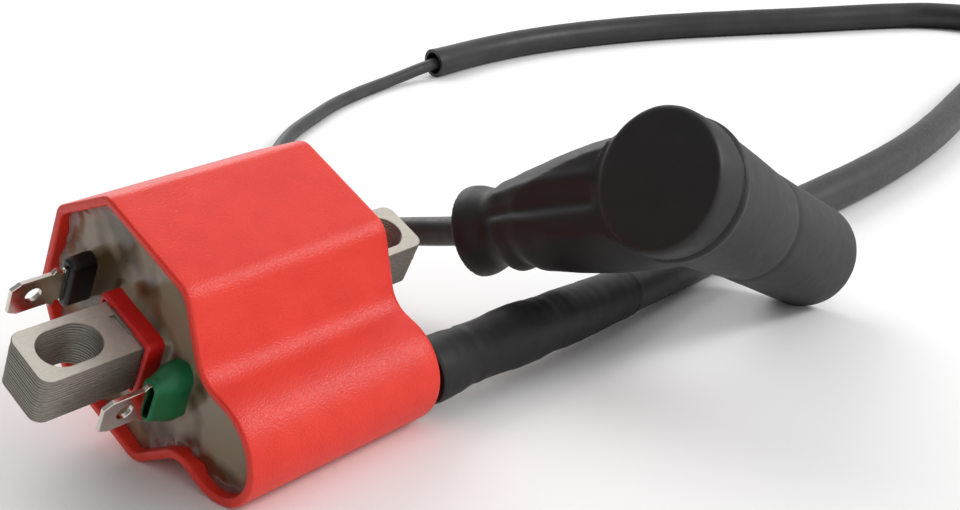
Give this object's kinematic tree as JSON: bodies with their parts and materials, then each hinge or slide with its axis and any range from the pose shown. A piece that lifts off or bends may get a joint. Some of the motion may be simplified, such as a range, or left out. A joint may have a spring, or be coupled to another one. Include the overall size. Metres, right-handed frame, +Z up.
{
  "type": "ignition coil",
  "caption": "Ignition coil with a moulded housing, laminated core with slotted tabs, blade terminals, sleeved high-tension lead and angled spark plug cap.",
  "frame": {"origin": "on the surface the part lies on, below the middle of the coil's box (the coil without its lead and cap)", "axes": "+X along the laminated core towards the high-tension outlet, +Z up from the surface, +Y to the side away from the lead's outlet"},
  "size_m": [0.4011, 0.212, 0.0465],
  "materials": {
    "steel": "punched electrical sheet with a thin clear varnish, burnished edges",
    "housing_red": "moulded glass-filled plastic, satin with a fine grain",
    "potting": "cast epoxy, grey brown, slightly glossy",
    "bobbin_red": "moulded nylon, satin",
    "bobbin_cream": "moulded plastic, matte",
    "copper": "enamelled copper wire",
    "tin": "tin-plated brass, bright cut edges",
    "sleeve_black": "soft vinyl, satin",
    "sleeve_green": "soft vinyl, satin",
    "rubber_black": "moulded rubber, matte",
    "tube_black": "extruded rubber tube, satin",
    "lead_black": "silicone insulation, satin",
    "phenolic": "moulded phenolic",
    "ceramic": "fired ceramic",
    "spring_steel": "plain spring wire",
    "brass": "turned and pressed brass"
  },
  "bodies": {
    "coil": {"lamination_01": "steel", "lamination_02": "steel", "lamination_03": "steel", "lamination_04": "steel", "lamination_05": "steel", "lamination_06": "steel", "lamination_07": "steel", "lamination_08": "steel", "lamination_09": "steel", "lamination_10": "steel", "lamination_11": "steel", "lamination_12": "steel", "lamination_13": "steel", "lamination_14": "steel", "lamination_15": "steel", "lamination_16": "steel", "housing": "housing_red", "potting": "potting", "primary_bobbin": "bobbin_red", "primary_winding": "copper", "secondary_bobbin": "bobbin_cream", "secondary_winding_1": "copper", "secondary_winding_2": "copper", "secondary_winding_3": "copper", "secondary_winding_4": "copper", "primary_terminal": "tin", "ground_terminal": "tin", "black_sleeve": "sleeve_black", "green_sleeve": "sleeve_green", "ht_contact_pin": "brass", "outlet_boot": "rubber_black", "protective_tube": "tube_black", "ht_lead": "lead_black", "lead_sleeve": "tube_black"},
    "plug_cap": {"cap_body": "rubber_black", "cap_insulator": "phenolic", "cap_resistor": "ceramic", "cap_spring": "spring_steel", "cap_lead_screw": "brass", "plug_clip": "brass"}
  },
  "joints": [
    {"name": "cap_swivel", "type": "hinge", "parent": "coil", "child": "plug_cap", "pos_m": [0.0606, -0.0421, 0.0322], "axis": [0.2063, -0.9316, 0.2991], "continuous": true}
  ]
}
